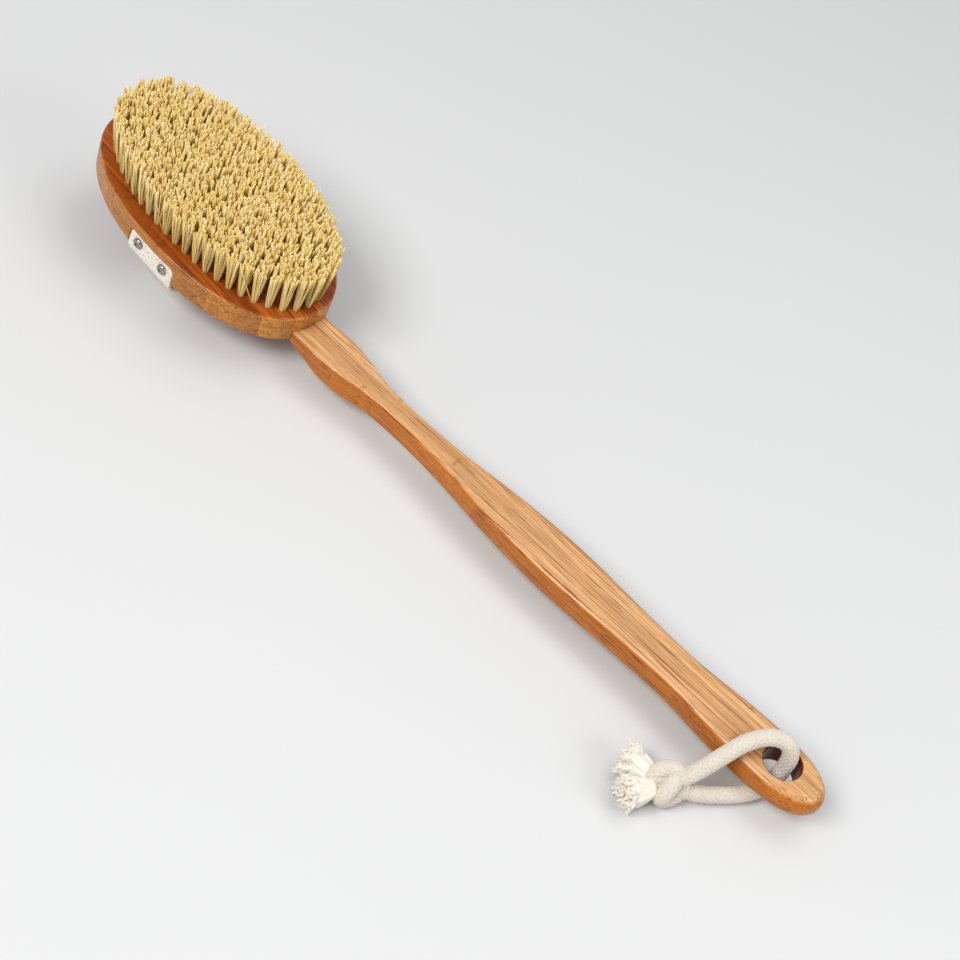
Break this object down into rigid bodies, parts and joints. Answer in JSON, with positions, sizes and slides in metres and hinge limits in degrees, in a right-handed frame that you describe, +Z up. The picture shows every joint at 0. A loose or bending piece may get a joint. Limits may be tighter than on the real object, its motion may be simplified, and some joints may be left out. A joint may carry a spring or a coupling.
{
  "type": "body dry brush",
  "caption": "Long-handled bamboo body brush with an oval head of plant-fibre tufts, a cotton hand strap, a plug-in handle and a knotted cord loop.",
  "frame": {"origin": "middle of the brush's footprint, on the surface it lies on", "axes": "+X along the handle towards its hanging loop, +Y across it, +Z up, out of the bristles"},
  "size_m": [0.4288, 0.1009, 0.0647],
  "materials": {
    "bamboo_head": "satin lacquered, edge-glued bamboo",
    "bamboo_handle": "gloss lacquered, laminated bamboo",
    "plant_fibre": "matt, natural",
    "strap_cotton": "felted cotton webbing",
    "cord_cotton": "braided cotton",
    "nickel_screw": "bright nickel"
  },
  "bodies": {
    "head": {"head_block": "bamboo_head", "bristle_ring_1": "plant_fibre", "bristle_ring_2": "plant_fibre", "bristle_ring_3": "plant_fibre", "bristle_ring_4": "plant_fibre", "bristle_ring_5": "plant_fibre", "hand_strap": "strap_cotton", "strap_screw_1": "nickel_screw", "strap_screw_2": "nickel_screw", "strap_screw_3": "nickel_screw", "strap_screw_4": "nickel_screw"},
    "handle": {"handle": "bamboo_handle"},
    "loop": {"loop_cord": "cord_cotton", "loop_knot": "cord_cotton", "cord_tassel_1": "cord_cotton", "cord_tassel_2": "cord_cotton"}
  },
  "joints": [
    {"name": "head_slide", "type": "slide", "parent": "handle", "child": "head", "axis": [-0.9925, 0, 0.1219], "range_m": [0, 0.055]},
    {"name": "loop_swing", "type": "hinge", "parent": "handle", "child": "loop", "pos_m": [0.19322, 0, 0.0147], "axis": [0, 0, 1], "range_deg": [-10, 120]}
  ]
}
